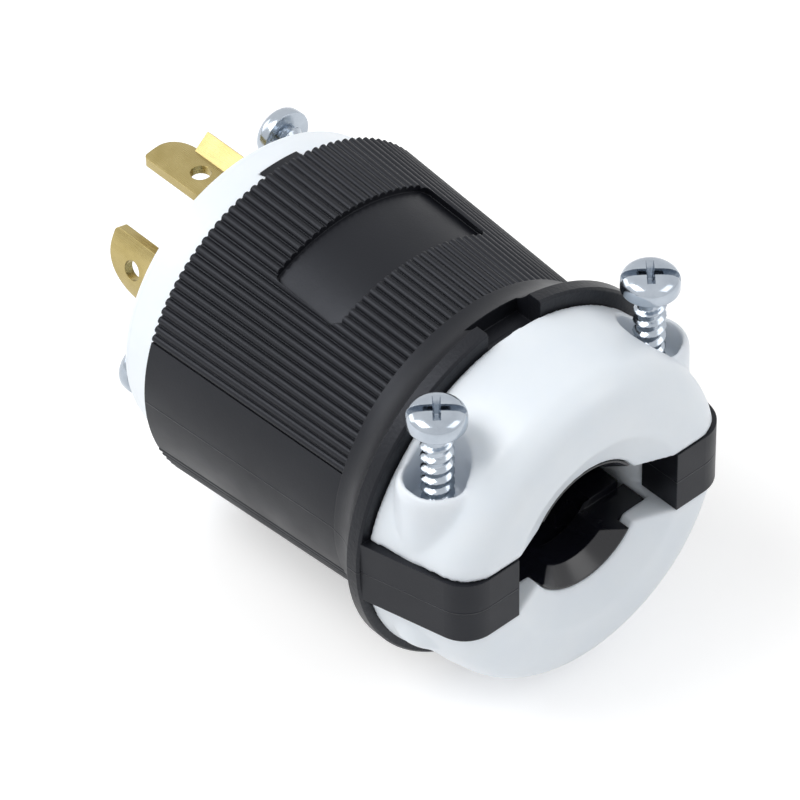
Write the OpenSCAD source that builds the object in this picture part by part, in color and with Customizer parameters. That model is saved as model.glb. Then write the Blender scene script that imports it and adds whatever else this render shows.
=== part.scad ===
// Two-pole, three-wire locking plug with a ribbed nylon body, a white blade holder
// and a two-jaw cord clamp drawn together by two long screws.
// The plug's axis is X: the blades point along -X and the cord leaves along +X.
// The origin is the centre of the front face, and the clamp screws' heads are on +Z.
// Angles round the axis are counted from +Z towards -Y.

/* [Body] */
// Crest radius of the ribbed barrel at its front edge
barrel_front_r = 25; // [24:0.1:26.5]
// Crest radius of the ribbed barrel where the ribs end
barrel_rear_r = 22.95; // [22.6:0.05:24]
// Length of the blade holder's rim in front of the barrel
rim_length = 7.35; // [6:0.05:9]
// Length of the ribbed barrel
barrel_length = 33.55; // [32:0.05:38]
// Length of the concave fillet between barrel and flange
fillet_length = 5.75; // [5:0.05:7]
// Radius of the rear flange
flange_r = 26.1; // [25.5:0.05:27.5]
// Width of the flange's rim
flange_width = 2; // [1.5:0.1:3]
// Radius of the bore that takes the blade holder and the terminal block
body_bore_r = 21.15; // [20.9:0.05:21.4]
// Radius of the wiring space behind the terminal block
wiring_r = 19.6; // [18.6:0.1:20]
// Thickness of the wall behind the wiring space
bulkhead_wall = 4; // [3:0.1:5]
// Radius of the cord hole through that wall
bulkhead_hole_r = 13; // [12.5:0.1:14]

/* [Ribs and recess] */
// Angle from one rib to the next
rib_pitch = 3; // [3:1:6]
// Radius of each rib's round crest
rib_r = 0.56; // [0.5:0.01:0.58]
// Height of the ribs over the valleys
rib_height = 0.42; // [0.3:0.02:0.5]
// Angle of each smooth band beside the mould parting line
band_angle = 42; // [36:6:60]
// Depth of the smooth bands under the rib crests
band_drop = 0.1; // [0.05:0.01:0.2]
// Distance from the barrel's front edge to the recess
recess_offset = 11.4; // [9:0.1:14]
// Width of the recess along the axis
recess_length = 11.5; // [8:0.1:13]
// Width of the recess across the barrel
recess_span = 25.2; // [18:0.1:28]
// Depth of the recess under the rib crests
recess_depth = 0.95; // [0.6:0.05:1.2]
// Corner radius of the recess
recess_corner = 1.2; // [0.5:0.1:2]

/* [Flange notch and front key] */
// Width of the notch through the flange at top and bottom
notch_width = 8.6; // [6:0.1:10]
// Length of the notch along the axis
notch_length = 4.3; // [3:0.1:5]
// Depth of the notch under the flange rim
notch_depth = 4.6; // [3:0.1:5]
// Width of the key that stands forward of the barrel
key_width = 6; // [4:0.1:8]
// Length of that key
key_length = 1.8; // [1:0.1:2.5]
// Thickness of that key
key_thick = 1.9; // [1:0.1:2.2]

/* [Lugs] */
// Height of the two side lugs
lug_height = 9.3; // [8:0.1:11]
// Length of the lugs behind the flange
lug_length = 15.05; // [14.8:0.05:16.5]
// Half width across the lugs beside the flange
lug_front_half = 25.35; // [25:0.05:25.4]
// Half width across the lugs where the rear corner starts
lug_rear_half = 22.7; // [22.2:0.05:23.4]
// Radius of the lugs' rear corners
lug_corner = 4.5; // [3:0.1:6]
// Half width of the cord opening between the lugs
opening_half = 13.35; // [13:0.05:14.5]
// Length of the pad at the rear end of each lug
lug_pad = 6.2; // [5.6:0.1:6.4]
// Thickness of the lug's outer wall beside the flange
lug_wall = 4.5; // [3:0.1:5.5]

/* [Cord clamp jaws] */
// Radius of a jaw beside the flange
jaw_front_r = 24; // [23.4:0.05:24.4]
// Radius of a jaw where its rear corner starts
jaw_rear_r = 22.8; // [22.2:0.05:23.2]
// Radius of a jaw's rear corner
jaw_corner = 5; // [4:0.1:6]
// Radius of the cord mouth at its narrowest
mouth_r = 9.3; // [9.1:0.05:9.8]
// Radius of the cord mouth at the rear face
mouth_flare_r = 14; // [12:0.1:15]
// Depth of the flare at the cord mouth
mouth_flare = 2.1; // [1:0.1:3]
// Wall thickness where a jaw is cored out
jaw_wall = 2.4; // [1.6:0.1:3]
// Radius of the screw bosses
boss_r = 5; // [4.6:0.1:5.2]
// Height of the upper screw bosses' top face over the axis
boss_top = 15.2; // [14:0.1:17]
// Height of the lower screw bosses' end under the axis
boss_bottom = 10.6; // [9.5:0.1:13]
// Distance of the clamp screws behind the flange
clamp_screw_back = 5.35; // [5.2:0.05:7]
// Distance of the clamp screws from the axis
clamp_screw_side = 17.64; // [17.5:0.02:18.2]
// Radius of the pockets for the clamp screws' heads
pocket_r = 4.05; // [3.9:0.05:4.3]
// Height of the pockets' floor over the axis
pocket_floor = 9.5; // [8:0.1:11]

/* [Cord grips] */
// Radius of the trough that holds the cord
trough_r = 7; // [6:0.1:8]
// Height of the grips' shoulders over the axis
shoulder = 5.4; // [5:0.1:6]
// Height of the grips' long front part over the axis
tray = 4.2; // [3.5:0.1:4.6]
// Height of the grips' back over the axis
grip_back = 8.6; // [8:0.1:9]
// Half width of the grips' rear block
grip_half = 12.4; // [11.8:0.1:12.5]
// Length of the grips' rear block
grip_block = 4; // [3:0.1:5]
// Length of the grips' front part
grip_tray = 5.7; // [4.5:0.1:6]

/* [Blades] */
// Thickness of the blades
blade_thick = 1.3; // [1:0.05:1.5]
// Outer radius of the circle that the blades lie on
blade_r = 12.3; // [11.8:0.1:12.6]
// Length of the line blades in front of the face
line_blade_length = 14.8; // [13:0.1:17]
// Length of the ground blade in front of the face
ground_blade_length = 17.8; // [16:0.1:20]
// Width of the line blades
line_blade_width = 8.2; // [7:0.1:9]
// Width of the ground blade's curved part
ground_blade_width = 6; // [5.5:0.1:7]
// Length of the ground blade's bent leg across the blade
ground_leg = 2.4; // [1.5:0.1:3]
// Setback of the bent leg from the ground blade's tip
ground_leg_setback = 3.8; // [2:0.1:5]
// Radius of the hole in each blade
blade_hole_r = 1.4; // [1:0.05:1.6]
// Distance of the line blades' holes from their tips
line_hole_back = 4.6; // [3:0.1:6]
// Distance of the ground blade's hole from its tip
ground_hole_back = 7.8; // [5:0.1:9]

/* [Blade holder and terminals] */
// Radius of the holder's rim at the front face
rim_front_r = 22.5; // [21.8:0.1:23.2]
// Radius of the holder's rim at the barrel
rim_rear_r = 24.2; // [23.6:0.1:24.6]
// Rounding of the front face's edge
rim_round = 1.4; // [0.6:0.1:2]
// Depth of the blade holder behind the front face
holder_depth = 14; // [12:0.5:16]
// Length of the terminal block
block_length = 16; // [15:0.5:18]
// Length of the terminal pockets along the axis
terminal_length = 10.5; // [10:0.1:12]
// Width of the blades' terminal tails
tail_width = 9.2; // [8.6:0.1:9.6]
// Thickness of the terminals' clamp plates
plate_thick = 1.5; // [1:0.1:2]
// Room for the wire under a clamp plate
wire_gap = 2.7; // [2:0.1:3.5]

/* [Screws] */
// Radius over the clamp screws' thread
clamp_screw_r = 2.12; // [1.9:0.02:2.2]
// Length of the clamp screws under the head
clamp_screw_length = 25.4; // [24.6:0.2:28]
// Height of the clamp screws' heads over the axis, backed out
clamp_screw_height = 23.3; // [20:0.1:24]
// Radius of the clamp and assembly screws' heads
head_r = 3.75; // [3.4:0.05:3.85]
// Height of the clamp and assembly screws' heads
head_height = 2.7; // [2.2:0.1:3]
// Radius over the assembly screws' thread
assembly_screw_r = 2.08; // [1.9:0.02:2.2]
// Length of the assembly screws under the head
assembly_screw_length = 40; // [39:0.5:44]
// Distance that the assembly screws' heads stand off the face, backed out
assembly_screw_out = 7.4; // [6:0.1:8]
// Distance of the assembly screws from the axis
assembly_screw_ring = 17.6; // [17:0.1:17.8]
// Depth of the assembly screws' counterbores in the face
counterbore = 2.4; // [1.5:0.1:3]
// Radius over the terminal screws' thread
terminal_screw_r = 2; // [1.8:0.05:2.2]
// Radius over the block screws' thread
block_screw_r = 1.75; // [1.5:0.05:1.9]
// Distance of the block screws from the axis
block_screw_ring = 15; // [14:0.1:16]

/* [Fits] */
// Clearance round pieces that slide into each other
slip = 0.15; // [0.1:0.05:0.2]
// Clearance between the jaws and their neighbours
jaw_gap = 0.1; // [0.1:0.05:0.2]
// Clearance round the screws in their clearance holes
screw_gap = 0.25; // [0.2:0.05:0.4]
// Clearance round the screws in their threads
thread_gap = 0.03; // [0.02:0.01:0.05]

/* [Hidden] */
$fn = 96;
e = 0.01;

// Stations along the axis
x_barrel = rim_length;
x_ribs_end = x_barrel + barrel_length;
x_flange = x_ribs_end + fillet_length;
x_rear = x_flange + flange_width;
x_block = holder_depth;
x_step = x_block + block_length;
x_bulkhead = x_rear - bulkhead_wall;
x_boss = x_step + 0.4;
x_lug_end = x_rear + lug_length;
x_jaw = x_rear + jaw_gap;
x_jaw_end = x_lug_end - jaw_gap;
x_screw = x_rear + clamp_screw_back;
x_mouth = x_jaw_end - mouth_flare;
x_grip_end = x_mouth - jaw_gap;
x_grip_face = x_grip_end - 2.2;
x_grip_step = x_grip_face - grip_block;
x_grip_start = x_grip_step - grip_tray;

// Barrel taper, ribs and bands
taper = (barrel_front_r - barrel_rear_r) / barrel_length;
taper_angle = atan(taper);
function crest(x) = barrel_front_r - taper * (x - x_barrel);
rib_count = floor((180 - band_angle) / rib_pitch);
rib_field = rib_count * rib_pitch;
band_sweep = 180 - rib_field;
// The fillet starts a hair above the rib crests and ends at the flange's edge
fillet_start_r = barrel_rear_r + 0.08;
fillet_rise = flange_r - fillet_start_r;
rim_chamfer = 0.3;
fillet_r = (fillet_length * fillet_length + fillet_rise * fillet_rise) / (2 * fillet_rise);

// Lug plan: a tapering side that runs into a round corner
lug_half_height = lug_height / 2;
lug_cx = x_lug_end - lug_corner;
lug_cy = lug_rear_half - lug_corner;
lug_slope = atan((lug_front_half - lug_rear_half) / (lug_cx - x_rear));

// Jaw profile: a tapering back that runs into a round corner
jaw_cx = x_jaw_end - jaw_corner;
jaw_cr = jaw_rear_r - jaw_corner;
jaw_slope = atan((jaw_front_r - jaw_rear_r) / (jaw_cx - x_jaw));
jaw_split = slip;
// Depth by which a jaw's straight back ends inside its corner's circle
tuck = 0.004;

// Angular places
assembly_angles = [-45, 135];
block_screw_angles = [40, 180];
line_x_angle = 77.5;
ground_angle = 0;
line_y_angle = -77.5;
terminal_angles = [ground_angle, line_x_angle, line_y_angle];
// Angle at which the ground blade's leg leaves the blade
leg_bend = 50;

// Terminal stations
blade_in_r = blade_r - blade_thick;
plate_r = blade_r + wire_gap;
plate_top_r = plate_r + plate_thick;
terminal_x = x_block + terminal_length / 2;
tail_end = x_block + terminal_length - 1.4;
plate_length = 7.6;
pocket_width = tail_width + 2 * slip + 0.4;
wire_hole_r = wire_gap / 2 + 1.5;
small_head_r = 3.1;
block_screw_length = block_length + 6;
clamp_pilot_r = clamp_screw_r + thread_gap;
insert_r = assembly_screw_r + 0.85;
insert_length = 6;
boss_in_r = insert_r + 1.3;
retainer_thick = 0.8;
retainer_r = assembly_screw_r + 0.9;

// Turns a shape built along Z so that it lies along X
module along_x() {
    rotate([0, 90, 0]) children();
}

// Puts a shape at an angle round the axis and a distance from it
module at_angle(angle, radius) {
    rotate([angle, 0, 0]) translate([0, 0, radius]) children();
}

// A ring round the axis from one station to another
module ring(x0, x1, r0, r1) {
    difference() {
        translate([x0, 0, 0]) along_x() cylinder(r = r1, h = x1 - x0);
        translate([x0 - 1, 0, 0]) along_x() cylinder(r = r0, h = x1 - x0 + 2);
    }
}

// A rectangle with round corners, from its lower left corner
module round_rect(w, h, r) {
    translate([r, 0]) square([w - 2 * r, h]);
    translate([0, r]) square([w, h - 2 * r]);
    for (x = [r, w - r], y = [r, h - r]) translate([x, y]) circle(r);
}

// A pan head that stands on Z = 0, with a rounded upper edge
module pan_head(r, h) {
    cylinder(r = r, h = h * 0.55);
    translate([0, 0, h * 0.55]) rotate_extrude() {
        square([r - h * 0.45, h * 0.45]);
        intersection() {
            translate([r - h * 0.45, 0]) circle(h * 0.45);
            square([r, h * 0.45]);
        }
    }
}

// A screw whose head stands on Z = 0 and whose shank points down
module screw(r, length, top_r, top_h) {
    difference() {
        pan_head(top_r, top_h);
        translate([-top_r - 1, -0.45, top_h - 0.9]) cube([2 * top_r + 2, 0.9, 2]);
        for (a = [0, 90]) rotate([0, 0, a]) translate([-top_r * 0.55, -0.5, top_h - 1.8])
            cube([top_r * 1.1, 1, 3]);
    }
    translate([0, 0, -length]) cylinder(r = r, h = length + e);
}

// ---- Body ----

// Outline of barrel, fillet and flange, revolved round the axis
module body_shell() {
    along_x() rotate_extrude() difference() {
        polygon([
            [0, x_barrel],
            [barrel_front_r - rib_height, x_barrel],
            [barrel_rear_r - rib_height, x_ribs_end],
            [fillet_start_r, x_ribs_end],
            [flange_r, x_ribs_end],
            [flange_r, x_rear - rim_chamfer],
            [flange_r - rim_chamfer, x_rear],
            [0, x_rear]
        ]);
        intersection() {
            translate([fillet_start_r + fillet_r, x_ribs_end]) circle(fillet_r, $fn = 180);
            translate([0, x_ribs_end - 1]) square([2 * flange_r, fillet_length + 1]);
        }
    }
}

// One rib with a round crest, at the top of the barrel, longer than the barrel at both ends
module rib() {
    translate([x_barrel - 1, 0, crest(x_barrel - 1) - rib_r / cos(taper_angle)])
        rotate([0, 90 + taper_angle, 0])
            cylinder(r = rib_r, h = barrel_length + 3, $fn = 24);
}

// The ribs of one field, which lies round angle 0, trimmed to the barrel's length
module rib_row() {
    intersection() {
        for (i = [0 : rib_count - 1])
            rotate([(i + 0.5) * rib_pitch - rib_field / 2, 0, 0]) rib();
        translate([x_barrel, -flange_r, 0])
            cube([barrel_length + 0.5, 2 * flange_r, 2 * flange_r]);
    }
}

// The smooth band on one side, which carries the mould parting line
module side_band() {
    along_x() rotate([0, 0, 90 - band_sweep / 2]) rotate_extrude(angle = band_sweep) polygon([
        [body_bore_r + 0.5, x_barrel],
        [barrel_front_r - band_drop, x_barrel],
        [barrel_rear_r - band_drop, x_ribs_end],
        [barrel_rear_r - band_drop, x_ribs_end + 0.5],
        [body_bore_r + 0.5, x_ribs_end + 0.5]
    ]);
}

// Material that the recess on top takes away
module recess_cut() {
    difference() {
        translate([x_barrel + recess_offset, -recess_span / 2, barrel_rear_r / 2])
            linear_extrude(barrel_front_r)
                round_rect(recess_length, recess_span, recess_corner);
        translate([x_barrel, 0, 0]) along_x() cylinder(
            r1 = barrel_front_r - recess_depth,
            r2 = barrel_rear_r - recess_depth,
            h = barrel_length);
    }
}

// Plan of one lug's outer edge on the +Y side, from the flange to the cord opening
module lug_outline() {
    tangent_x = lug_cx + lug_corner * sin(lug_slope);
    tangent_y = lug_cy + lug_corner * cos(lug_slope);
    front_x = x_rear - 1;
    polygon([
        [front_x, opening_half],
        [front_x, tangent_y + (tangent_x - front_x) * tan(lug_slope)],
        [tangent_x, tangent_y],
        [lug_cx, lug_cy],
        [x_lug_end, lug_cy],
        [x_lug_end, opening_half]
    ]);
    translate([lug_cx, lug_cy]) circle(lug_corner);
}

// Plan of one lug with the room inside it for a jaw's screw boss
module lug_plan() {
    inner_y = lug_front_half - lug_wall - slip;
    difference() {
        lug_outline();
        translate([x_rear, opening_half - 1])
            square([lug_length - lug_pad, inner_y - opening_half + 1]);
        translate([x_screw, clamp_screw_side]) circle(boss_r + slip);
    }
}

module lug() {
    translate([0, 0, -lug_half_height]) linear_extrude(lug_height) lug_plan();
}

// Bosses on the wall of the wiring space, which hold the threaded inserts
module insert_boss(angle) {
    at_angle(angle, assembly_screw_ring) translate([x_boss, 0, 0]) along_x()
        cylinder(r = boss_in_r, h = x_bulkhead - x_boss + e);
}

module insert_boss_bore(angle) {
    at_angle(angle, assembly_screw_ring) {
        translate([x_boss - 1, 0, 0]) along_x() cylinder(r = insert_r, h = insert_length + 1);
        translate([x_boss, 0, 0]) along_x()
            cylinder(r = assembly_screw_r + screw_gap, h = x_bulkhead - x_boss - 1.5);
    }
}

module body() {
    color([0.09, 0.09, 0.1]) difference() {
        union() {
            difference() {
                union() {
                    body_shell();
                    for (side = [0, 180]) rotate([side, 0, 0]) rib_row();
                    for (side = [0, 180]) rotate([side, 0, 0]) side_band();
                }
                for (side = [0, 180]) rotate([side, 0, 0]) recess_cut();
                translate([x_barrel - 1, 0, 0]) along_x()
                    cylinder(r = body_bore_r, h = x_step - x_barrel + 1);
                along_x() cylinder(r = wiring_r, h = x_bulkhead);
                along_x() cylinder(r = bulkhead_hole_r, h = x_rear + 1);
            }
            for (angle = assembly_angles) insert_boss(angle);
            for (side = [0, 1]) mirror([0, side, 0]) lug();
            front_key(0);
        }
        for (side = [0, 180]) rotate([side, 0, 0])
            translate([x_rear - notch_length, -notch_width / 2, flange_r - notch_depth])
                cube([notch_length + 1, notch_width, notch_depth + 1]);
        for (angle = assembly_angles) insert_boss_bore(angle);
    }
}

// Key on the barrel's front edge, also used with a gap to notch the blade holder
module front_key(gap) {
    top_r = rim_rear_r - 0.3;
    intersection() {
        translate([x_barrel - key_length - gap, -key_width / 2 - gap, 0])
            cube([key_length + gap + 0.6, key_width + 2 * gap, barrel_front_r]);
        translate([x_barrel - key_length - gap, 0, 0]) ring(0, key_length + gap + 0.6,
            top_r - key_thick - gap, top_r + 30 * gap);
    }
}

// ---- Blade holder ----

// Opening for a blade: its own section with a gap all round
module blade_slot(angle, width) {
    half = width / 2 + slip;
    at_angle(angle, 0) intersection() {
        ring(-1, x_block + 1, blade_in_r - slip, blade_r + slip);
        translate([-2, -half, 0]) cube([x_block + 4, 2 * half, blade_r + 1]);
    }
}

module blade_holder() {
    color([0.93, 0.94, 0.95]) difference() {
        union() {
            along_x() rotate_extrude() {
                polygon([
                    [0, 0],
                    [rim_front_r - rim_round, 0],
                    [rim_front_r - rim_round, rim_round],
                    [rim_front_r, rim_round],
                    [rim_rear_r, x_barrel],
                    [0, x_barrel]
                ]);
                translate([rim_front_r - rim_round, rim_round]) circle(rim_round);
            }
            translate([x_barrel - e, 0, 0]) along_x()
                cylinder(r = body_bore_r - slip, h = x_block - x_barrel + e);
        }
        blade_slot(line_x_angle, line_blade_width);
        blade_slot(line_y_angle, line_blade_width);
        blade_slot(ground_angle, ground_blade_width);
        at_angle(ground_angle, 0) ground_leg_bar(slip, -1, x_block + 1);
        for (angle = assembly_angles) at_angle(angle, assembly_screw_ring) {
            translate([-1, 0, 0]) along_x()
                cylinder(r = assembly_screw_r + screw_gap, h = x_block + 2);
            translate([-1, 0, 0]) along_x() cylinder(r = head_r + screw_gap, h = counterbore + 1);
            translate([x_block - retainer_thick, 0, 0]) along_x()
                cylinder(r = retainer_r + slip, h = 2);
        }
        for (angle = block_screw_angles) at_angle(angle, block_screw_ring)
            translate([x_step - block_screw_length - 1, 0, 0]) along_x()
                cylinder(r = block_screw_r + thread_gap, h = 30);
        front_key(slip);
    }
}

// ---- Blades ----

// A blade's curved strip, cut from a tube by its developed outline
module blade_strip(tip, width, round_low, round_high, leg) {
    half = width / 2;
    intersection() {
        ring(-tip, tail_end, blade_in_r, blade_r);
        linear_extrude(blade_r + 1) difference() {
            union() {
                translate([-tip, -half]) square([tip + x_block + e, width]);
                translate([x_block, -tail_width / 2])
                    square([tail_end - x_block, tail_width]);
            }
            corner_cut(-tip, -half, round_low, 1);
            corner_cut(-tip, half, round_high, -1);
        }
    }
}

// The piece outside a round corner at a blade's tip
module corner_cut(x, y, r, side) {
    translate([x, y]) scale([1, side]) difference() {
        translate([-1, -1]) square([r + 1, r + 1]);
        translate([r, r]) circle(r);
    }
}

// A hole through a blade, which points away from the axis
module radial_hole(x, r) {
    translate([x, 0, 0]) cylinder(r = r, h = blade_r + 5);
}

module line_blade() {
    difference() {
        blade_strip(line_blade_length, line_blade_width, 6.2, 0.6);
        radial_hole(line_hole_back - line_blade_length, blade_hole_r);
        radial_hole(terminal_x, terminal_screw_r + thread_gap);
    }
}

// The bent leg's straight bar, whose root lies inside the blade's far edge
module ground_leg_bar(gap, x0, x1) {
    root_y = ground_blade_width / 2 - 0.4;
    root_z = sqrt(pow(blade_r - blade_thick / 2, 2) - root_y * root_y);
    translate([x0, root_y, root_z]) rotate([-leg_bend, 0, 0])
        translate([0, -blade_thick / 2 - gap, -gap])
            cube([x1 - x0, blade_thick + 2 * gap, ground_leg + 0.9 + 2 * gap]);
}

module ground_blade_shape() {
    difference() {
        union() {
            blade_strip(ground_blade_length, ground_blade_width, 0.6, 3.6);
            ground_leg_bar(0, ground_leg_setback - ground_blade_length, x_block - 0.5);
        }
        radial_hole(ground_hole_back - ground_blade_length, blade_hole_r);
        radial_hole(terminal_x, terminal_screw_r + thread_gap);
    }
}

module line_blade_x() {
    color([0.78, 0.66, 0.36]) at_angle(line_x_angle, 0) line_blade();
}

module line_blade_y() {
    color([0.78, 0.66, 0.36]) at_angle(line_y_angle, 0) line_blade();
}

module ground_blade() {
    color([0.78, 0.66, 0.36]) at_angle(ground_angle, 0) ground_blade_shape();
}

// ---- Terminals ----

// Plate that presses the wire on the blade's tail
module clamp_plate(angle) {
    at_angle(angle, plate_r) translate([terminal_x, 0, 0]) difference() {
        translate([-plate_length / 2, -tail_width / 2, 0])
            cube([plate_length, tail_width, plate_thick]);
        translate([0, 0, -1]) cylinder(r = terminal_screw_r + screw_gap, h = plate_thick + 2);
        translate([-plate_length / 2 - 1, 0, -0.6]) along_x() cylinder(r = 1, h = 2.6);
    }
}

module ground_clamp_plate() {
    color([0.75, 0.76, 0.74]) clamp_plate(ground_angle);
}

module line_x_clamp_plate() {
    color([0.8, 0.68, 0.38]) clamp_plate(line_x_angle);
}

module line_y_clamp_plate() {
    color([0.8, 0.68, 0.38]) clamp_plate(line_y_angle);
}

module terminal_screw(angle) {
    at_angle(angle, plate_top_r) translate([terminal_x, 0, 0])
        screw(terminal_screw_r, plate_top_r - blade_in_r + 0.8, small_head_r + 0.3, 2.3);
}

module ground_terminal_screw() {
    color([0.2, 0.5, 0.28]) terminal_screw(ground_angle);
}

module line_terminal_screws() {
    color([0.8, 0.68, 0.38]) {
        terminal_screw(line_x_angle);
        terminal_screw(line_y_angle);
    }
}

// Room in the terminal block for a tail, its plate and screw, open to the outside
module terminal_pocket(angle) {
    at_angle(angle, 0) {
        translate([x_block - 1, -pocket_width / 2, blade_in_r - 1.2])
            cube([terminal_length + 1, pocket_width, body_bore_r]);
        translate([x_block + terminal_length - 1, 0, blade_r + wire_gap / 2]) along_x()
            cylinder(r = wire_hole_r, h = block_length);
    }
}

module terminal_block() {
    color([0.9, 0.9, 0.86]) difference() {
        translate([x_block, 0, 0]) along_x() cylinder(r = body_bore_r - slip, h = block_length);
        for (angle = terminal_angles) terminal_pocket(angle);
        for (angle = assembly_angles) at_angle(angle, assembly_screw_ring)
            translate([x_block - 1, 0, 0]) along_x()
                cylinder(r = assembly_screw_r + screw_gap, h = block_length + 2);
        for (angle = block_screw_angles) at_angle(angle, block_screw_ring)
            translate([x_block - 1, 0, 0]) along_x()
                cylinder(r = block_screw_r + screw_gap, h = block_length + 2);
        translate([x_block - 1, 0, 0]) along_x() cylinder(r = 4.5, h = block_length - 1);
    }
}

// ---- Screws that hold the plug together ----

// A screw whose head faces the front of the plug, with its seat at a station
module front_screw(angle, ring_r, seat, r, length) {
    at_angle(angle, ring_r) translate([seat, 0, 0]) rotate([0, -90, 0])
        screw(r, length, head_r, head_height);
}

module assembly_screws() {
    color([0.75, 0.77, 0.8]) for (angle = assembly_angles)
        front_screw(angle, assembly_screw_ring, -assembly_screw_out,
            assembly_screw_r, assembly_screw_length);
}

module screw_retainers() {
    color([0.5, 0.3, 0.2]) for (angle = assembly_angles) at_angle(angle, assembly_screw_ring)
        ring(x_block - retainer_thick, x_block, assembly_screw_r + thread_gap, retainer_r);
}

module threaded_inserts() {
    color([0.8, 0.68, 0.38]) for (angle = assembly_angles) at_angle(angle, assembly_screw_ring)
        ring(x_boss, x_boss + insert_length, assembly_screw_r + thread_gap, insert_r - thread_gap);
}

module block_screws() {
    color([0.75, 0.77, 0.8]) for (angle = block_screw_angles) at_angle(angle, block_screw_ring)
        translate([x_step, 0, 0]) along_x()
            screw(block_screw_r, block_screw_length, small_head_r, 2.2);
}

// ---- Cord clamp ----

// Section of a jaw from the axis outwards, before the halves are parted
module jaw_profile() {
    tangent_x = jaw_cx + jaw_corner * sin(jaw_slope);
    tangent_r = jaw_cr + jaw_corner * cos(jaw_slope);
    difference() {
        union() {
            polygon([
                [0, x_jaw],
                [tangent_r + (tangent_x - x_jaw) * tan(jaw_slope), x_jaw],
                [tangent_r - tuck, tangent_x],
                [jaw_cr, jaw_cx],
                [jaw_cr, x_jaw_end],
                [0, x_jaw_end]
            ]);
            translate([jaw_cr, jaw_cx]) circle(jaw_corner);
        }
        polygon([
            [0, x_jaw - 1],
            [mouth_r, x_jaw - 1],
            [mouth_r, x_mouth],
            [mouth_flare_r, x_jaw_end + e],
            [mouth_flare_r, x_jaw_end + 1],
            [0, x_jaw_end + 1]
        ]);
    }
}

// Cored-out space behind a jaw's front face, clear of the screw bosses
module jaw_core() {
    floor_z = lug_half_height + jaw_gap + jaw_wall;
    difference() {
        intersection() {
            along_x() rotate_extrude() polygon([
                [mouth_r + jaw_wall, x_jaw - 1],
                [jaw_front_r - jaw_wall, x_jaw - 1],
                [jaw_rear_r - jaw_wall, jaw_cx],
                [jaw_cr - 1, x_jaw_end - jaw_wall - 1],
                [mouth_r + jaw_wall, x_mouth - jaw_wall]
            ]);
            translate([0, -50, floor_z]) cube([100, 100, 50]);
        }
        for (side = [-1, 1]) translate([x_screw, side * clamp_screw_side, 0])
            cylinder(r = boss_r + 0.6, h = 50);
        translate([0, -0.9, 0]) cube([100, 1.8, 50]);
    }
}

// Room in a jaw for its grip
module grip_seat() {
    translate([x_jaw - 1, -grip_half - slip, 0])
        cube([x_grip_face + slip - x_jaw + 1, 2 * (grip_half + slip), grip_back + slip]);
}

// A screw boss with a rounded end
module screw_boss(top) {
    round_r = 1.6;
    translate([0, 0, jaw_split]) rotate_extrude() {
        square([boss_r, top - jaw_split - round_r]);
        square([boss_r - round_r, top - jaw_split]);
        translate([boss_r - round_r, top - jaw_split - round_r]) circle(round_r);
    }
}

// One jaw with its screw bosses, on the +Z side
module jaw(top) {
    difference() {
        union() {
            intersection() {
                along_x() rotate_extrude() jaw_profile();
                translate([0, -50, lug_half_height + e]) cube([100, 100, 50]);
            }
            for (side = [-1, 1]) translate([x_screw, side * clamp_screw_side, 0])
                screw_boss(top);
        }
        grip_seat();
        jaw_core();
    }
}

module upper_jaw() {
    color([0.93, 0.94, 0.95]) difference() {
        jaw(boss_top);
        for (side = [-1, 1]) translate([x_screw, side * clamp_screw_side, 0]) {
            translate([0, 0, -1]) cylinder(r = clamp_screw_r + screw_gap, h = 30);
            translate([0, 0, pocket_floor]) cylinder(r = pocket_r, h = 30);
        }
    }
}

module lower_jaw() {
    color([0.93, 0.94, 0.95]) difference() {
        rotate([180, 0, 0]) jaw(boss_bottom);
        for (side = [-1, 1]) translate([x_screw, side * clamp_screw_side, -30])
            cylinder(r = clamp_pilot_r, h = 31);
    }
}

// One grip on the +Z side: a rear block and a tray with a trough, and a flared lip
module grip() {
    lip_r = mouth_r - slip;
    difference() {
        union() {
            intersection() {
                translate([x_grip_start, 0, 0]) along_x()
                    cylinder(r = lip_r, h = x_grip_end - x_grip_start);
                translate([0, -50, shoulder]) cube([100, 100, 50]);
            }
            translate([x_grip_step, -grip_half, shoulder])
                cube([grip_block, 2 * grip_half, grip_back - shoulder]);
            translate([x_grip_start, -grip_half + 1, tray])
                cube([grip_tray + e, 2 * grip_half - 2, grip_back - tray]);
        }
        translate([x_grip_step - 1, 0, 0]) along_x()
            cylinder(r = trough_r, h = grip_block + 10);
        translate([x_grip_start - 1, 0, 0]) along_x()
            cylinder(r = trough_r + 0.9, h = grip_tray + 1);
        translate([x_grip_face, 0, 0]) along_x()
            cylinder(r1 = trough_r, r2 = lip_r - 0.25, h = x_grip_end - x_grip_face + e);
    }
}

module upper_grip() {
    color([0.1, 0.1, 0.12]) grip();
}

module lower_grip() {
    color([0.1, 0.1, 0.12]) rotate([180, 0, 0]) grip();
}

module clamp_screws() {
    color([0.75, 0.77, 0.8]) for (side = [-1, 1])
        translate([x_screw, side * clamp_screw_side, clamp_screw_height]) rotate([0, 0, 49])
            screw(clamp_screw_r, clamp_screw_length, head_r, head_height);
}

body();
blade_holder();
terminal_block();
ground_blade();
line_blade_x();
line_blade_y();
ground_clamp_plate();
line_x_clamp_plate();
line_y_clamp_plate();
ground_terminal_screw();
line_terminal_screws();
block_screws();
assembly_screws();
screw_retainers();
threaded_inserts();
upper_jaw();
lower_jaw();
upper_grip();
lower_grip();
clamp_screws();
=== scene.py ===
# %% [markdown]
# # A locking power plug in a small studio
# The plug's solids come from CAD as a fixed frame, in metres. This lesson dresses them: it gives
# every solid a finish worked out from the real material, and builds again in mesh code the pieces
# that CAD keeps plain, which are the threaded screws and the soft-edged white clamp jaws. The CAD
# solids that are right already keep their mesh and only change their material.

# %% Load the frame
import math

import bmesh
import bpy
import numpy as np
from mathutils import Matrix, Vector


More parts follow.
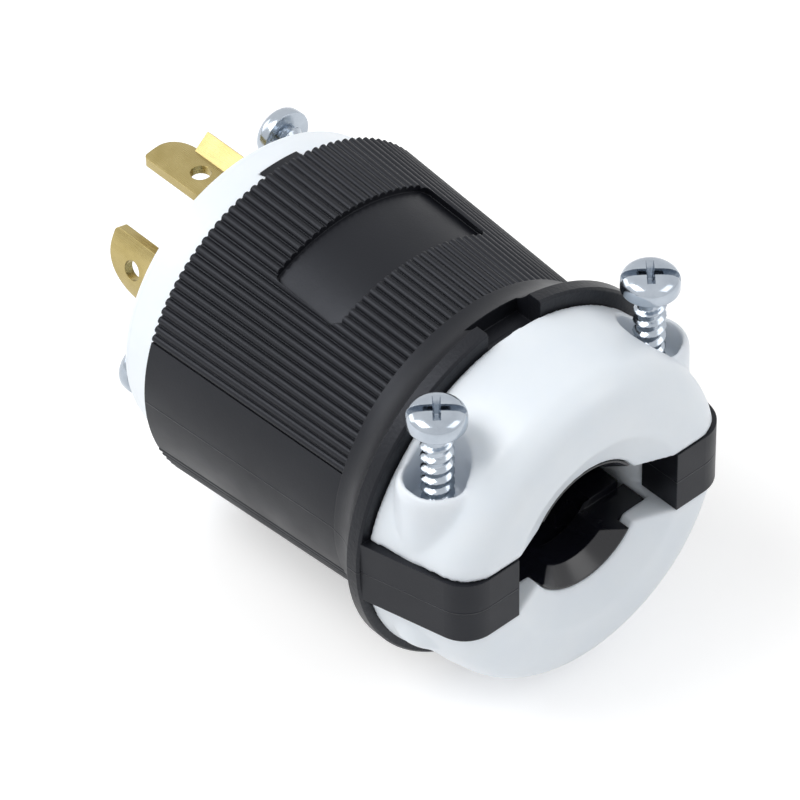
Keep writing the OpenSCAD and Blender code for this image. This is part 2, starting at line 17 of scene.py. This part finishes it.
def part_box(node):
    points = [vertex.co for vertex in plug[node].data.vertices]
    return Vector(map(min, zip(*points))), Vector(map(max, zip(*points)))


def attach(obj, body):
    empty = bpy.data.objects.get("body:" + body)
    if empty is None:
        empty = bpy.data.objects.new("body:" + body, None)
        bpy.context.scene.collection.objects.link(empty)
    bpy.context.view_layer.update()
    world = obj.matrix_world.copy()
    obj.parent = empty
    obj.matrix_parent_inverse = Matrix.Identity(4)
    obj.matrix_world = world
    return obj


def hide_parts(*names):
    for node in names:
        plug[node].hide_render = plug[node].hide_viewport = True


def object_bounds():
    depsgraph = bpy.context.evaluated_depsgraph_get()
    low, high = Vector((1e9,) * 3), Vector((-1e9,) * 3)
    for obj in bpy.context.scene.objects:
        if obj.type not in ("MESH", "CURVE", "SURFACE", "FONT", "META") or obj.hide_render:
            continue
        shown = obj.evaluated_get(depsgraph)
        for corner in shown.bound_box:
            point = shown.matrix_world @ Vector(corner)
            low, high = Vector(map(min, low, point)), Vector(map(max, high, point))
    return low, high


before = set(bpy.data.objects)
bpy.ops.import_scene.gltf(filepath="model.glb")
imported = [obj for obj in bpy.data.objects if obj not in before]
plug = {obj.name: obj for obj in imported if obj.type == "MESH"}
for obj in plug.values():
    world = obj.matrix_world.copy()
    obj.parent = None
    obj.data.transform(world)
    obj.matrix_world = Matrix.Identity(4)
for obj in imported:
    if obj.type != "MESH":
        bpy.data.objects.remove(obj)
cad_box = [list(corner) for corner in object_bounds()]
MM = 0.001
print("nodes:", len(plug), "box in mm:", [[round(v / MM, 2) for v in corner] for corner in cad_box])

# %% [markdown]
# ## The camera
# A long lens from about two thirds of a metre keeps a small object nearly free of perspective,
# as product pictures do. It could be placed by hand in the viewport. Here the direction, distance
# and small roll are written as numbers, so that each run frames the plug in the same way. The
# shift slides the frame without turning the camera.

# %% Place the camera
scene = bpy.context.scene
look_at = Vector((37.5, 0, 0)) * MM
to_camera = Vector((0.540, -0.490, 0.685)).normalized()
camera_roll = math.radians(-0.70)
camera_distance = 672 * MM

lens = bpy.data.cameras.new("studio_lens")
lens.lens = 242.5
lens.sensor_width = 36
lens.shift_x = -0.0669
lens.shift_y = 0.0348
lens.clip_start = 0.05
lens.clip_end = 20
camera = bpy.data.objects.new("studio_camera", lens)
scene.collection.objects.link(camera)
aim = to_camera.to_track_quat("Z", "Y").to_matrix().to_4x4()
camera.matrix_world = (
    Matrix.Translation(look_at + to_camera * camera_distance) @ aim @ Matrix.Rotation(camera_roll, 4, "Z")
)
scene.camera = camera
print("camera at mm:", [round(v / MM, 1) for v in camera.matrix_world.translation])

# %% [markdown]
# ## Colour and nodes
# Paint and plastic colours are read as sRGB hex values, while a shader works in linear light, so
# one function turns one into the other. A second small function adds any node with its settings
# and its links. Writing trees this way is shorter than placing each node by hand, and it reads in
# the order in which the light meets the surface.

# %% Two small helpers
def linear(hex_colour):
    """An sRGB hex colour as the linear RGBA that a shader socket takes."""
    parts = [int(hex_colour[i:i + 2], 16) / 255 for i in (1, 3, 5)]
    return [c / 12.92 if c <= 0.04045 else ((c + 0.055) / 1.055) ** 2.4 for c in parts] + [1.0]


def add(finish, kind, sockets=None, **settings):
    """Adds one node to a finish; sockets holds plain values or the outputs to link from."""
    node = finish.node_tree.nodes.new(kind)
    for name, value in settings.items():
        setattr(node, name, value)
    for name, value in (sockets or {}).items():
        if isinstance(value, bpy.types.NodeSocket):
            finish.node_tree.links.new(value, node.inputs[name])
        else:
            node.inputs[name].default_value = value
    return node


def new_finish(name):
    """An empty node material."""
    finish = bpy.data.materials.new(name + "_finish")
    finish.use_nodes = True
    finish.node_tree.nodes.clear()
    return finish


print("black nylon in linear light:", [round(c, 4) for c in linear("#1C1D20")[:3]])

# %% [markdown]
# ## Moulded nylon
# Housing, face, jaws and grips are all injection-moulded nylon, IOR 1.53. Such a surface copies
# the steel of its mould: a fine spark-eroded grain of some tenths of a millimetre, broad patches
# where the plastic packed a little differently, and edges with a radius that is never quite zero.
# The grain could be modelled, but bump gives the same sparkle for no triangles. The small edge
# radius comes from the Bevel node, which bends the normal near an edge. The grain is finer than
# this picture can show, so it is drawn at about twice its real size.

# %% The moulded nylon recipe
HOUSING_GRAIN_MM = 0.35


def moulded_nylon(name, pale, deep, shine, grain_mm, grain_depth_mm, edge_mm):
    """Returns a finish with its shader and its last bump, so that a piece can add to them."""
    finish = new_finish(name)
    place = add(finish, "ShaderNodeTexCoord").outputs["Object"]
    patches = add(finish, "ShaderNodeTexNoise", {"Vector": place, "Scale": 1 / (7 * MM), "Detail": 4})
    tone = add(finish, "ShaderNodeMix", {0: patches.outputs[0], 6: linear(pale), 7: linear(deep)},
               data_type="RGBA")
    gloss = add(finish, "ShaderNodeMapRange", {0: patches.outputs[0], 1: 0.3, 2: 0.7,
                                              3: shine - 0.05, 4: shine + 0.06})
    edge = add(finish, "ShaderNodeBevel", {"Radius": edge_mm * MM}, samples=4)
    grain = add(finish, "ShaderNodeTexNoise", {"Vector": place, "Scale": 1 / (grain_mm * MM),
                                              "Detail": 3, "Roughness": 0.6})
    bump = add(finish, "ShaderNodeBump", {"Height": grain.outputs[0], "Strength": 1.0,
                                         "Distance": grain_depth_mm * MM,
                                         "Normal": edge.outputs[0]})
    shader = add(finish, "ShaderNodeBsdfPrincipled", {"Base Color": tone.outputs[2],
                                                     "Roughness": gloss.outputs[0], "IOR": 1.53,
                                                     "Normal": bump.outputs[0]})
    add(finish, "ShaderNodeOutputMaterial", {"Surface": shader.outputs[0]})
    return finish, shader, bump, place


print("grain drawn per mm:", round(1 / HOUSING_GRAIN_MM, 1))

# %% [markdown]
# ## Black nylon of the housing
# The housing is a semi-matt black that turns grey where a lamp grazes it. Two traces of its mould
# are worth drawing: the parting line, a hair of flash round the plane where the mould halves met,
# and the coarser eroded grain on the flat land of the flange. Both could be cut into the mesh;
# bump is enough, because neither changes the outline.

# %% Black nylon with its parting line
LAND_FROM, LAND_TO = 46.6 * MM, 48.7 * MM
LAND_FADE = 0.1 * MM
black_nylon, black_shader, black_bump, black_place = moulded_nylon(
    "black_nylon", "#131419", "#0D0E12", 0.40, HOUSING_GRAIN_MM, 0.012, 0.18)
black_shader.inputs["Specular IOR Level"].default_value = 0.28
black_shader.inputs["Specular Tint"].default_value = (0.86, 0.90, 1.0, 1.0)
axes = add(black_nylon, "ShaderNodeSeparateXYZ", {0: black_place})
height = add(black_nylon, "ShaderNodeMath", {0: axes.outputs[2]}, operation="ABSOLUTE")
flash = add(black_nylon, "ShaderNodeMapRange", {0: height.outputs[0], 1: 0.05 * MM, 2: 0.16 * MM,
                                               3: 1.0, 4: 0.0})
flash_bump = add(black_nylon, "ShaderNodeBump", {"Height": flash.outputs[0], "Strength": 1.0,
                                                "Distance": 0.12 * MM,
                                                "Normal": black_bump.outputs[0]})
land_start = add(black_nylon, "ShaderNodeMapRange", {0: axes.outputs[0], 1: LAND_FROM - LAND_FADE,
                                                    2: LAND_FROM + LAND_FADE})
land_end = add(black_nylon, "ShaderNodeMapRange", {0: axes.outputs[0], 1: LAND_TO - LAND_FADE,
                                                  2: LAND_TO + LAND_FADE,
                                                  3: 1.0, 4: 0.0})
land = add(black_nylon, "ShaderNodeMath", {0: land_start.outputs[0], 1: land_end.outputs[0]},
           operation="MULTIPLY")
sparks = add(black_nylon, "ShaderNodeTexNoise", {"Vector": black_place, "Scale": 1 / (0.5 * MM),
                                                "Detail": 2})
land_grain = add(black_nylon, "ShaderNodeMath", {0: sparks.outputs[0], 1: land.outputs[0]},
                 operation="MULTIPLY")
land_bump = add(black_nylon, "ShaderNodeBump", {"Height": land_grain.outputs[0], "Strength": 1.0,
                                               "Distance": 0.05 * MM,
                                               "Normal": flash_bump.outputs[0]})
black_nylon.node_tree.links.new(land_bump.outputs[0], black_shader.inputs["Normal"])
print("parting line 0.3 mm wide, land grain 0.5 mm")

# %% [markdown]
# ## White, black and inner nylon
# Unfilled white nylon lets light in for a millimetre or two, which softens its shadows and gives
# it a milky look: subsurface weight with a radius in millimetres does that. The grips are a
# blue-black nylon from a polished mould, so their roughness is low. The terminal block inside is
# plain pale nylon.

# %% White nylon, grip nylon and block nylon
MILK_DEPTH_MM = 1.6
white_nylon, white_shader, _, _ = moulded_nylon(
    "white_nylon", "#F1F7FF", "#E7EFF9", 0.34, 0.6, 0.006, 0.30)
for socket, value in {"Subsurface Weight": 0.35, "Subsurface Radius": (1.0, 0.95, 0.9),
                      "Subsurface Scale": MILK_DEPTH_MM * MM}.items():
    white_shader.inputs[socket].default_value = value
grip_nylon, _, _, _ = moulded_nylon(
    "grip_nylon", "#14151D", "#0D0E14", 0.24, 0.5, 0.006, 0.20)
block_nylon, _, _, _ = moulded_nylon(
    "block_nylon", "#E6DFC6", "#D8D0B4", 0.40, 0.6, 0.008, 0.20)
print("light travels in the white nylon mm:", MILK_DEPTH_MM)

# %% [markdown]
# ## Brass, zinc and the small fasteners
# The blades are stamped from half-hard brass strip. Rolling leaves fine lines along the strip,
# about 0.1 mm apart, drawn here at 0.25 mm. The screws are steel with bright zinc, slightly blue,
# with a faint mottle from the plating bath. A metal keeps the default IOR, and its colour is its
# reflection. The rolled lines could use anisotropy, but a stretched noise in the bump also breaks
# the reflection up.

# %% Metals
def plated_metal(name, pale, deep, shine, line_mm, stretch, depth_mm):
    """A metal whose marks run along X by stretch times their width."""
    finish = new_finish(name)
    place = add(finish, "ShaderNodeTexCoord").outputs["Object"]
    along = add(finish, "ShaderNodeMapping", {"Vector": place, "Scale": (1 / stretch, 1, 1)})
    marks = add(finish, "ShaderNodeTexNoise", {"Vector": along.outputs[0],
                                              "Scale": 1 / (line_mm * MM), "Detail": 3})
    cloud = add(finish, "ShaderNodeTexNoise", {"Vector": place, "Scale": 1 / (2.5 * MM),
                                              "Detail": 3})
    tone = add(finish, "ShaderNodeMix", {0: cloud.outputs[0], 6: linear(pale), 7: linear(deep)},
               data_type="RGBA")
    gloss = add(finish, "ShaderNodeMapRange", {0: marks.outputs[0], 1: 0.3, 2: 0.7,
                                              3: shine - 0.04, 4: shine + 0.08})
    edge = add(finish, "ShaderNodeBevel", {"Radius": 0.12 * MM}, samples=4)
    bump = add(finish, "ShaderNodeBump", {"Height": marks.outputs[0], "Strength": 1.0,
                                         "Distance": depth_mm * MM, "Normal": edge.outputs[0]})
    shader = add(finish, "ShaderNodeBsdfPrincipled", {"Base Color": tone.outputs[2],
                                                     "Metallic": 1.0,
                                                     "Roughness": gloss.outputs[0],
                                                     "Normal": bump.outputs[0]})
    add(finish, "ShaderNodeOutputMaterial", {"Surface": shader.outputs[0]})
    return finish


blade_brass = plated_metal("blade_brass", "#BEAE7C", "#9F8E58", 0.24, 0.25, 12, 0.004)
screw_brass = plated_metal("screw_brass", "#CDB57C", "#B0955A", 0.30, 0.4, 1, 0.003)
zinc_steel = plated_metal("zinc_steel", "#BFC7D0", "#9CA5B0", 0.15, 0.5, 1, 0.003)
green_screw = plated_metal("green_screw", "#5FA06A", "#3F7C4C", 0.30, 0.5, 1, 0.003)
fibre, _, _, _ = moulded_nylon("fibre", "#8B4A34", "#743B2A", 0.7, 0.3, 0.02, 0.05)
print("metals:", [m.name for m in (blade_brass, screw_brass, zinc_steel, green_screw)])

# %% [markdown]
# ## Finishes on the CAD solids
# Each CAD solid is assigned the finish of its real material. The record names these material
# slots, so a table from slot name to finish is all that it takes.

# %% Assign the finishes
finish_of_slot = {
    "black_nylon": black_nylon, "grip_nylon": grip_nylon, "white_nylon": white_nylon,
    "block_nylon": block_nylon, "blade_brass": blade_brass, "screw_brass": screw_brass,
    "zinc_steel": zinc_steel, "green_screw": green_screw, "fibre": fibre,
}
slot_of_node = {
    "body": "black_nylon", "blade_holder": "white_nylon", "terminal_block": "block_nylon",
    "ground_blade": "blade_brass", "line_blade_x": "blade_brass", "line_blade_y": "blade_brass",
    "ground_clamp_plate": "screw_brass", "line_x_clamp_plate": "screw_brass",
    "line_y_clamp_plate": "screw_brass", "ground_terminal_screw": "green_screw",
    "line_terminal_screws": "screw_brass", "block_screws": "zinc_steel",
    "assembly_screws": "zinc_steel", "screw_retainers": "fibre",
    "threaded_inserts": "screw_brass", "upper_jaw": "white_nylon", "lower_jaw": "white_nylon",
    "upper_grip": "grip_nylon", "lower_grip": "grip_nylon", "clamp_screws": "zinc_steel",
}
for name, slot in slot_of_node.items():
    solid = plug[name]
    if not solid.material_slots:
        solid.data.materials.append(finish_of_slot[slot])
    for material_slot in solid.material_slots:
        material_slot.material = finish_of_slot[slot]
print("finished solids:", len(slot_of_node), "of", len(plug))

# %% [markdown]
# ## Soft-edged clamp jaws
# Moulded jaws have generous radii: the screw bosses flow into the dome and every rim is round. A
# bevel modifier struggles with the many curved edges that meet there. Instead, the CAD jaw is
# copied, rebuilt on an even grid of 0.32 mm and smoothed, which rounds every edge by a few tenths of a
# millimetre at once. The sides also run straighter than the turned CAD form: they swell a little towards the
# flange, so that they follow the flat side of the lug.

# %% Rebuild the two jaws
JAW_GRID = 0.32 * MM
JAW_ROUNDS = 5
SWELL_FROM, SWELL_TO = 48.75 * MM, 60.5 * MM


def follow_lug(points, below):
    """Swells a jaw's sides outwards near the flange; y only, fading towards the mouth."""
    turn = np.degrees(np.arctan2(np.abs(points[:, 1]), points[:, 2]))
    if below:
        swell = np.interp(turn, [90, 110, 130, 150, 172], [0.034, 0.046, 0.062, 0.045, 0.0])
    else:
        swell = np.interp(turn, [40, 60, 80, 90], [0.0, 0.012, 0.034, 0.034])
    reach = np.hypot(points[:, 1], points[:, 2])
    outer = np.interp(reach, [20.5 * MM, 23 * MM], [0, 1])
    fade = np.clip((SWELL_TO - points[:, 0]) / (SWELL_TO - SWELL_FROM), 0, 1)
    points[:, 1] *= 1 + swell * fade * outer
    return points


def soft_jaw(node, name, below):
    """A copy of a jaw with round edges, standing for the CAD node."""
    jaw = bpy.data.objects.new(name, plug[node].data.copy())
    scene.collection.objects.link(jaw)
    remesh = jaw.modifiers.new("even_grid", "REMESH")
    remesh.mode = "VOXEL"
    remesh.voxel_size = JAW_GRID
    smooth = jaw.modifiers.new("round_edges", "SMOOTH")
    smooth.factor = 0.5
    smooth.iterations = JAW_ROUNDS
    made = bpy.data.meshes.new_from_object(jaw.evaluated_get(bpy.context.evaluated_depsgraph_get()))
    jaw.modifiers.clear()
    jaw.data = made
    points = np.zeros(len(made.vertices) * 3)
    made.vertices.foreach_get("co", points)
    made.vertices.foreach_set("co", follow_lug(points.reshape(-1, 3), below).ravel())
    made.polygons.foreach_set("use_smooth", [True] * len(made.polygons))
    made.materials.clear()
    made.materials.append(white_nylon)
    made.update()
    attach(jaw, "root")
    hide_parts(node)
    print(name, "faces:", len(made.polygons))
    return jaw


upper = soft_jaw("upper_jaw", "upper_jaw_moulded", False)
lower = soft_jaw("lower_jaw", "lower_jaw_moulded", True)

# %% [markdown]
# ## Threaded pan-head screws
# The long screws have a rolled thread of 1.7 mm pitch, 4.2 mm across, and a 7.5 mm pan head with
# a slot over a cross recess. A screw modifier could sweep a tooth, but its ends need mending. A
# grid of rings whose radius follows the helix needs no repair, and the tip just narrows. The head
# is a turned outline with the slot and the cross taken out by two boolean cuts.

# %% Build a threaded shank and a pan head
THREAD_PITCH = 1.7 * MM
RING_CORNERS = 36
TOOTH_HALF = 0.26
TIP_LENGTH = 1.8 * MM
TIP_START = 0.25
PLAIN_NECK = 0.4 * MM
ROOT_SHARE = 0.70
# Each driver cut: length, width and depth in mm, how far its foot narrows, and its turn.
DRIVER_CUTS = (
    (9.0, 1.15, 1.2, 1.0, 0),
    (5.0, 1.15, 2.2, 0.45, 0),
    (5.0, 1.15, 2.2, 0.45, 90),
)


def threaded_shank(mesh, length, crest, step):
    """Rings down -Z from the head; the radius follows a rolled thread's narrow crest."""
    count = int(round(length / step))
    root = crest * ROOT_SHARE
    rings = []
    for level in range(count + 1):
        depth = length * level / count
        ring = []
        for side in range(RING_CORNERS):
            phase = (depth / THREAD_PITCH + side / RING_CORNERS) % 1.0
            tooth = max(0.0, 1 - abs(phase - 0.5) / TOOTH_HALF) ** 0.8
            narrow = min(1.0, (length - depth) / TIP_LENGTH + TIP_START)
            plain = min(1.0, depth / PLAIN_NECK)
            radius = (root + (crest - root) * tooth * plain) * narrow
            angle = 2 * math.pi * side / RING_CORNERS
            ring.append(mesh.verts.new((radius * math.cos(angle), radius * math.sin(angle), -depth)))
        rings.append(ring)
    for upper_ring, lower_ring in zip(rings, rings[1:]):
        for side in range(RING_CORNERS):
            after = (side + 1) % RING_CORNERS
            mesh.faces.new((upper_ring[side], lower_ring[side], lower_ring[after], upper_ring[after]))
    mesh.faces.new(rings[0])
    mesh.faces.new(list(reversed(rings[-1])))


def pan_head(radius, height):
    """A pan head from z 0 to height, with a slot and a cross recess, as an evaluated mesh."""
    outline = [(0.0, 0.0), (0.93, 0.0), (0.985, 0.03), (1.0, 0.09), (1.0, 0.42), (0.985, 0.56),
               (0.94, 0.70), (0.86, 0.82), (0.75, 0.905), (0.60, 0.96), (0.35, 0.99), (0.0, 1.0)]
    mesh = bmesh.new()
    corners = [mesh.verts.new((radius * r, 0, height * z)) for r, z in outline]
    edges = [mesh.edges.new(pair) for pair in zip(corners, corners[1:])]
    bmesh.ops.spin(mesh, geom=corners + edges, axis=(0, 0, 1), cent=(0, 0, 0),
                   angle=2 * math.pi, steps=64, use_merge=True)
    bmesh.ops.remove_doubles(mesh, verts=mesh.verts, dist=0.001 * MM)
    bmesh.ops.recalc_face_normals(mesh, faces=mesh.faces)
    head = bpy.data.objects.new("head_blank", bpy.data.meshes.new("head_blank"))
    mesh.to_mesh(head.data)
    mesh.free()
    scene.collection.objects.link(head)
    cutters = []
    for length, width, depth, foot, turn in DRIVER_CUTS:
        tool = bmesh.new()
        bmesh.ops.create_cube(tool, size=1)
        for corner in tool.verts:
            taper = 1.0 if corner.co.z > 0 else foot
            corner.co = Vector((corner.co.x * length * MM * taper, corner.co.y * width * MM * taper,
                                height + (0.5 * MM if corner.co.z > 0 else -depth * MM)))
        bmesh.ops.rotate(tool, verts=tool.verts, cent=(0, 0, 0),
                         matrix=Matrix.Rotation(math.radians(turn), 3, "Z"))
        cutter = bpy.data.objects.new("driver_cut", bpy.data.meshes.new("driver_cut"))
        tool.to_mesh(cutter.data)
        tool.free()
        scene.collection.objects.link(cutter)
        cut = head.modifiers.new("driver_cut", "BOOLEAN")
        cut.operation = "DIFFERENCE"
        cut.solver = "EXACT"
        cut.object = cutter
        cutters.append(cutter)
    made = bpy.data.meshes.new_from_object(head.evaluated_get(bpy.context.evaluated_depsgraph_get()))
    for spent in [head] + cutters:
        bpy.data.objects.remove(spent)
    return made


def screws(name, node, places, head_radius, head_height, length, crest, step):
    """One piece with a threaded screw at each place; a place is a matrix, head up, z 0 under it."""
    head = pan_head(head_radius, head_height)
    single = bmesh.new()
    single.from_mesh(head)
    threaded_shank(single, length, crest, step)
    bmesh.ops.recalc_face_normals(single, faces=single.faces)
    pattern = bpy.data.meshes.new(name + "_pattern")
    single.to_mesh(pattern)
    single.free()
    every = bmesh.new()
    for place in places:
        copy = pattern.copy()
        copy.transform(place)
        every.from_mesh(copy)
    made = bpy.data.meshes.new(name)
    every.to_mesh(made)
    every.free()
    made.polygons.foreach_set("use_smooth", [True] * len(made.polygons))
    made.set_sharp_from_angle(angle=math.radians(40))
    made.materials.clear()
    made.materials.append(zinc_steel)
    piece = bpy.data.objects.new(name, made)
    scene.collection.objects.link(piece)
    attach(piece, "root")
    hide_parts(node)
    print(name, "faces:", len(made.polygons))
    return piece


# %% [markdown]
# ## Where the screws stand
# The places come from the CAD screws' own boxes, so nothing is measured twice. Two screws stand
# upright beside the cord mouth. Two lie along the axis and show their heads in front of the face.

# %% Place the four long screws
head_radius = 3.75 * MM
head_height = 2.7 * MM
low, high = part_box("clamp_screws")
slot_turn = Matrix.Rotation(math.atan2(0.75, 0.66), 4, "Z")
upright = []
for side_y in (low.y + head_radius, high.y - head_radius):
    spot = Vector(((low.x + high.x) / 2, side_y, high.z - head_height))
    upright.append(Matrix.Translation(spot) @ slot_turn)
clamp_length = high.z - low.z - head_height
screws("clamp_screws_threaded", "clamp_screws", upright, head_radius, head_height,
       clamp_length, 2.11 * MM, 0.10 * MM)

low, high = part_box("assembly_screws")
lying = []
for side in (1, -1):
    reach = (high.y - head_radius) if side > 0 else (low.y + head_radius)
    lift = (high.z - head_radius) if side > 0 else (low.z + head_radius)
    spot = Vector((low.x + head_height, reach, lift))
    lying.append(Matrix.Translation(spot) @ Matrix.Rotation(math.radians(-90), 4, "Y")
                 @ Matrix.Rotation(math.radians(35), 4, "Z"))
screws("assembly_screws_threaded", "assembly_screws", lying, head_radius, head_height,
       high.x - low.x - head_height, 2.07 * MM, 0.16 * MM)

# %% [markdown]
# ## Floor and backdrop
# The plug lies on a plain white table that runs on to the horizon. To the lens, and in
# reflections, the table glows a little over its own white, so that it reads as a white
# background, while the plug's shadow still falls on it.

# %% Lay the floor
white_table = new_finish("white_table")
path = add(white_table, "ShaderNodeLightPath")
seen = add(white_table, "ShaderNodeMath", {0: path.outputs["Is Camera Ray"],
                                          1: path.outputs["Is Glossy Ray"]}, operation="MAXIMUM")
seen = add(white_table, "ShaderNodeMath", {0: seen.outputs[0],
                                          1: path.outputs["Is Transmission Ray"]},
           operation="MAXIMUM")
paper_grain = add(white_table, "ShaderNodeTexNoise", {"Scale": 1 / (4 * MM), "Detail": 2})
paper_tone = add(white_table, "ShaderNodeMix", {0: paper_grain.outputs[0], 6: linear("#EFEFEF"),
                                               7: linear("#EBEBEB")}, data_type="RGBA")
paper = add(white_table, "ShaderNodeBsdfDiffuse", {"Color": paper_tone.outputs[2]})
glow = add(white_table, "ShaderNodeEmission", {"Color": (1, 1, 1, 1), "Strength": 0.4})
lit_paper = add(white_table, "ShaderNodeAddShader", {0: paper.outputs[0], 1: glow.outputs[0]})
table_mix = add(white_table, "ShaderNodeMixShader", {0: seen.outputs[0], 1: paper.outputs[0],
                                                    2: lit_paper.outputs[0]})
add(white_table, "ShaderNodeOutputMaterial", {"Surface": table_mix.outputs[0]})

table_top = cad_box[0][2] - 0.05 * MM
table = bmesh.new()
bmesh.ops.create_grid(table, x_segments=8, y_segments=8, size=4.0)
for corner in table.verts:
    corner.co.z = table_top
table_mesh = bpy.data.meshes.new("table_top")
table.to_mesh(table_mesh)
table.free()
table_mesh.materials.append(white_table)
floor = bpy.data.objects.new("table_top", table_mesh)
scene.collection.objects.link(floor)
print("table top at mm:", round(table_top / MM, 2))

# %% [markdown]
# ## Soft light
# One large lamp stands above and to the left of the lens, a second, weaker one fills from the
# right, and a third from the blades' end draws the ribs' crests. The world adds an even level, and
# to the lens and in reflections it is plain white. The levels were chosen so that the
# white jaws stay under pure white.

# %% Lamps and world
ROOM_LEVEL = 0.52
for lamp_name, spot, size, power in (("key_softbox", (-0.25, -0.45, 0.75), 0.55, 3.9),
                                     ("fill_softbox", (0.55, 0.35, 0.55), 0.50, 1.2),
                                     ("rib_softbox", (-0.60, -0.30, 0.30), 0.40, 0.9)):
    light = bpy.data.lights.new(lamp_name, "AREA")
    light.shape = "SQUARE"
    light.size = size
    light.energy = power
    lamp = bpy.data.objects.new(lamp_name, light)
    scene.collection.objects.link(lamp)
    place = Vector(spot)
    lamp.matrix_world = (Matrix.Translation(place)
                         @ (place - look_at).to_track_quat("Z", "Y").to_matrix().to_4x4())
room = bpy.data.worlds.new("studio_room")
room.use_nodes = True
room.node_tree.nodes.clear()
scene.world = room
ray = add(room, "ShaderNodeLightPath")
seen_room = add(room, "ShaderNodeMath", {0: ray.outputs["Is Camera Ray"],
                                        1: ray.outputs["Is Glossy Ray"]}, operation="MAXIMUM")
seen_room = add(room, "ShaderNodeMath", {0: seen_room.outputs[0],
                                        1: ray.outputs["Is Transmission Ray"]},
                operation="MAXIMUM")
level = add(room, "ShaderNodeMapRange", {0: seen_room.outputs[0], 3: ROOM_LEVEL, 4: 1.0})
air = add(room, "ShaderNodeBackground", {"Color": (1, 1, 1, 1), "Strength": level.outputs[0]})
add(room, "ShaderNodeOutputWorld", {"Surface": air.outputs[0]})
scene.view_settings.view_transform = "Standard"
print("lamps:", len(bpy.data.lights), "world level:", ROOM_LEVEL)
